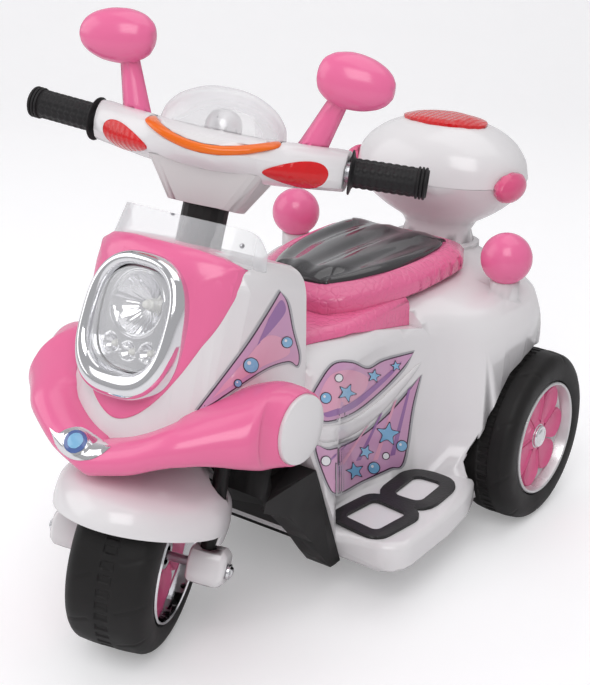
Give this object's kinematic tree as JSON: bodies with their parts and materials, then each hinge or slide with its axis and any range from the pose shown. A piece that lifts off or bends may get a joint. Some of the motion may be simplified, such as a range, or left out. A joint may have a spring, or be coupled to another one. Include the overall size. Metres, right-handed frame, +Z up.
{
  "type": "kids electric ride-on motorcycle",
  "caption": "Scooter-style ride-on motorcycle with a steered front wheel, spinning wheels, opening tail box, foot pedal, switches and keys on the handlebar.",
  "frame": {"origin": "on the ground plane under the centre of the bounding box", "axes": "+Z up, -Y the way the vehicle drives, +X the rider's left, +Y towards the tail box"},
  "size_m": [0.426, 0.7681, 0.6353],
  "materials": {
    "white_plastic": "glossy moulded white",
    "pink_plastic": "glossy moulded pink",
    "grey_white_plastic": "satin moulded greyish white",
    "black_plastic": "matt moulded black",
    "tyre_plastic": "matt blow-moulded black",
    "rubber": "matt",
    "gloss_black_plastic": "high gloss",
    "plated_plastic": "bright plated",
    "steel": "drawn rod and tube",
    "clear_plastic": "clear",
    "red_lens": "clear tinted red",
    "orange_lens": "clear tinted orange",
    "pink_lens": "clear tinted pink",
    "nylon": "natural nylon",
    "battery_case": "matt blue"
  },
  "bodies": {
    "vehicle_body": {"chassis_base": "black_plastic", "body_shell": "white_plastic", "seat_base": "pink_plastic", "seat_top": "gloss_black_plastic", "tail_box_lower": "white_plastic", "tail_box_hinge_pin": "steel", "ball_light_left": "pink_plastic", "ball_light_right": "pink_plastic", "tail_lamp_left": "red_lens", "tail_lamp_right": "red_lens", "cowl_shell": "white_plastic", "cowl_front_panel": "pink_plastic", "headlight_bezel": "plated_plastic", "headlight_reflector": "plated_plastic", "headlight_lens": "clear_plastic", "bumper": "pink_plastic", "bumper_cap_left": "white_plastic", "bumper_cap_right": "white_plastic", "wind_deflector": "clear_plastic", "foot_pad_left": "rubber", "battery": "battery_case", "drive_motor": "steel", "gearbox_housing": "nylon", "rear_axle": "steel", "head_bush_lower": "nylon", "head_bush_upper": "nylon", "charge_socket": "black_plastic"},
    "tail_lid": {"tail_box_lid": "white_plastic", "tail_box_top_lens": "red_lens", "tail_side_lens_left": "pink_lens", "tail_side_lens_right": "pink_lens"},
    "pedal": {"accelerator_pedal": "rubber"},
    "power_rocker": {"power_switch": "black_plastic"},
    "direction_rocker": {"direction_switch": "black_plastic"},
    "rear_wheel_left": {"rear_tyre_left": "tyre_plastic", "rear_rim_left": "pink_plastic"},
    "rear_wheel_right": {"rear_tyre_right": "tyre_plastic", "rear_rim_right": "pink_plastic"},
    "steering_set": {"fork": "black_plastic", "column_cover": "black_plastic", "front_fender": "white_plastic", "headset_upper": "white_plastic", "headset_lower": "grey_white_plastic", "handlebar_tube": "steel", "grip_left": "rubber", "grip_right": "rubber", "mirror_left": "pink_plastic", "mirror_right": "pink_plastic", "turn_lens_left": "red_lens", "turn_lens_right": "red_lens", "strip_lens": "orange_lens", "instrument_dome": "clear_plastic", "dome_lamp": "red_lens", "front_axle": "steel", "fork_end_cover_left": "white_plastic", "fork_end_cover_right": "white_plastic"},
    "horn_key": {"horn_button": "pink_plastic"},
    "music_key": {"music_button": "pink_plastic"},
    "front_wheel": {"front_tyre": "tyre_plastic", "front_rim": "pink_plastic"}
  },
  "joints": [
    {"name": "steering", "type": "hinge", "parent": "vehicle_body", "child": "steering_set", "pos_m": [0, -0.223, 0.3], "axis": [0, 0.342, 0.9397], "range_deg": [-56.5, 13.5]},
    {"name": "front_wheel_spin", "type": "hinge", "parent": "steering_set", "child": "front_wheel", "pos_m": [-0.00776, -0.27238, 0.1067], "axis": [0.9304, 0.3444, -0.1253], "continuous": true},
    {"name": "rear_wheel_spin_left", "type": "hinge", "parent": "vehicle_body", "child": "rear_wheel_left", "pos_m": [0.18, 0.223, 0.105], "axis": [1, 0, 0], "continuous": true},
    {"name": "rear_wheel_spin_right", "type": "hinge", "parent": "vehicle_body", "child": "rear_wheel_right", "pos_m": [-0.18, 0.223, 0.105], "axis": [1, 0, 0], "continuous": true},
    {"name": "tail_lid_hinge", "type": "hinge", "parent": "vehicle_body", "child": "tail_lid", "pos_m": [0, 0.2198, 0.39], "axis": [1, 0, 0], "range_deg": [0, 75]},
    {"name": "pedal_press", "type": "hinge", "parent": "vehicle_body", "child": "pedal", "pos_m": [-0.151, 0.093, 0.0895], "axis": [1, 0, 0], "range_deg": [0, 2.6], "stiffness_Nm_per_rad": 0.8, "springref_deg": -6.88},
    {"name": "power_switch_tip", "type": "hinge", "parent": "vehicle_body", "child": "power_rocker", "pos_m": [0.038, -0.082, 0.307], "axis": [1, 0, 0], "range_deg": [0, 8]},
    {"name": "direction_switch_tip", "type": "hinge", "parent": "vehicle_body", "child": "direction_rocker", "pos_m": [-0.038, -0.082, 0.307], "axis": [1, 0, 0], "range_deg": [0, 8]},
    {"name": "horn_press", "type": "slide", "parent": "steering_set", "child": "horn_key", "axis": [0.3665, -0.8743, 0.3182], "range_m": [0, 0.0025], "stiffness_N_per_m": 600, "springref_m": -0.002},
    {"name": "music_press", "type": "slide", "parent": "steering_set", "child": "music_key", "axis": [0.3665, -0.8743, 0.3182], "range_m": [0, 0.0025], "stiffness_N_per_m": 600, "springref_m": -0.002}
  ]
}
